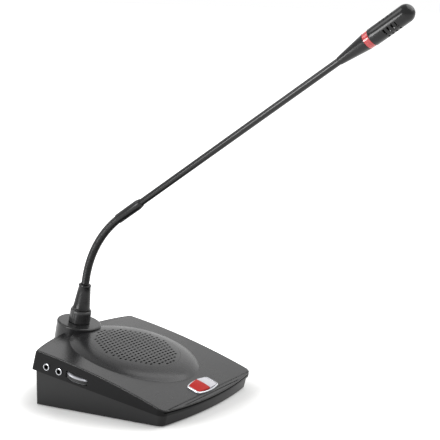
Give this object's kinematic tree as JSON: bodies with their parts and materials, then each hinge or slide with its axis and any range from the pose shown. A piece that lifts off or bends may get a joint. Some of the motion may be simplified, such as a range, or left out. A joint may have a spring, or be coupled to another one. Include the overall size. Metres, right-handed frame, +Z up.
{
  "type": "conference_microphone",
  "caption": "Desk conference microphone: wedge base with loudspeaker, talk keys, jacks and volume wheel, and a gooseneck carrying a lit microphone head.",
  "frame": {"origin": "On the floor under the middle of the base, halfway between its sides and between the lid's front and rear corners.", "axes": "+X to the user's right, -Y towards the user, +Z up."},
  "size_m": [0.1542, 0.3508, 0.3556],
  "materials": {
    "lid_grey": "fine satin",
    "case_dark": "fine grain",
    "plate_steel": "zinc plated",
    "foot_rubber": "matt",
    "screw_steel": "zinc plated",
    "board_green": "solder mask",
    "chip_black": "moulded",
    "can_grey": "sleeved",
    "connector_ivory": "moulded",
    "basket_steel": "satin",
    "cone_paper": "pressed paper",
    "bright_metal": "polished",
    "pin_brass": "bright",
    "wheel_silver": "metallic",
    "frame_silver": "metallic",
    "key_red": "polished",
    "key_silver": "metallic",
    "collar_black": "moulded",
    "neck_black": "sheathed",
    "arm_black": "satin",
    "ring_red": "translucent",
    "lamp_clear": "clear"
  },
  "bodies": {
    "base": {"top_cover": "lid_grey", "speaker_grille": "lid_grey", "case_body": "case_dark", "base_plate": "plate_steel", "rubber_feet": "foot_rubber", "base_screws": "screw_steel", "main_board": "board_green", "board_screws": "screw_steel", "board_chips": "chip_black", "board_capacitors": "can_grey", "board_connector": "connector_ivory", "speaker_gasket": "foot_rubber", "speaker_basket": "basket_steel", "speaker_cone": "cone_paper", "speaker_magnet": "basket_steel", "speaker_screws": "screw_steel", "headphone_jack": "chip_black", "line_jack": "chip_black", "jack_rings": "bright_metal", "volume_pot": "chip_black", "key_frame": "frame_silver", "key_board": "board_green", "key_switches": "chip_black", "key_board_screws": "screw_steel", "system_socket": "bright_metal", "socket_insert": "chip_black", "socket_pins": "pin_brass", "tower_bush": "bright_metal", "bush_nut": "screw_steel", "lock_collar": "collar_black", "stem_boot": "collar_black", "neck_root": "neck_black"},
    "red_key": {"red_key": "key_red"},
    "silver_key": {"silver_key": "key_silver"},
    "volume_wheel": {"volume_wheel": "wheel_silver"},
    "neck_1": {"neck_link_1": "neck_black"},
    "neck_2": {"neck_link_2": "neck_black"},
    "neck_3": {"neck_link_3": "neck_black"},
    "neck_4": {"neck_link_4": "neck_black"},
    "neck_5": {"neck_link_5": "neck_black"},
    "neck_6": {"neck_link_6": "neck_black"},
    "neck_7": {"neck_link_7": "neck_black"},
    "mic_arm": {"neck_sleeve": "arm_black", "arm_tube": "arm_black", "head_cone": "arm_black", "light_ring": "ring_red", "light_board": "board_green", "ring_lamps": "lamp_clear", "head_cap": "arm_black", "capsule_holder": "chip_black", "mic_capsule": "bright_metal"}
  },
  "joints": [
    {"name": "red_key_press", "type": "slide", "parent": "base", "child": "red_key", "axis": [0, 0.343, -0.9393], "range_m": [0, 0.0012], "stiffness_N_per_m": 400, "springref_m": -0.002},
    {"name": "silver_key_press", "type": "slide", "parent": "base", "child": "silver_key", "axis": [0, 0.343, -0.9393], "range_m": [0, 0.0012], "stiffness_N_per_m": 400, "springref_m": -0.002},
    {"name": "volume_turn", "type": "hinge", "parent": "base", "child": "volume_wheel", "pos_m": [-0.0642, 0.02234, 0.03189], "axis": [0, -0.2289, 0.9735], "range_deg": [-150, 150]},
    {"name": "neck_bend_1", "type": "hinge", "parent": "base", "child": "neck_1", "pos_m": [0, 0.06281, 0.10716], "axis": [1, 0, 0], "range_deg": [-11, 11]},
    {"name": "neck_sway_1", "type": "hinge", "parent": "neck_1", "child": "neck_2", "pos_m": [0, 0.06018, 0.11576], "axis": [0, 0.9413, 0.3376], "range_deg": [-10, 10]},
    {"name": "neck_bend_2", "type": "hinge", "parent": "neck_2", "child": "neck_3", "pos_m": [0, 0.05674, 0.12408], "axis": [1, 0, 0], "range_deg": [-11, 11]},
    {"name": "neck_sway_2", "type": "hinge", "parent": "neck_3", "child": "neck_4", "pos_m": [0, 0.05252, 0.13203], "axis": [0, 0.8598, 0.5106], "range_deg": [-10, 10]},
    {"name": "neck_bend_3", "type": "hinge", "parent": "neck_4", "child": "neck_5", "pos_m": [0, 0.04756, 0.13954], "axis": [1, 0, 0], "range_deg": [-11, 11]},
    {"name": "neck_sway_3", "type": "hinge", "parent": "neck_5", "child": "neck_6", "pos_m": [0, 0.0419, 0.14654], "axis": [0, 0.7469, 0.665], "range_deg": [-10, 10]},
    {"name": "neck_bend_4", "type": "hinge", "parent": "neck_6", "child": "neck_7", "pos_m": [0, 0.0356, 0.15297], "axis": [1, 0, 0], "range_deg": [-11, 11]},
    {"name": "neck_sway_4", "type": "hinge", "parent": "neck_7", "child": "mic_arm", "pos_m": [0, 0.02872, 0.15876], "axis": [0, 0.6066, 0.795], "range_deg": [-10, 10]}
  ]
}
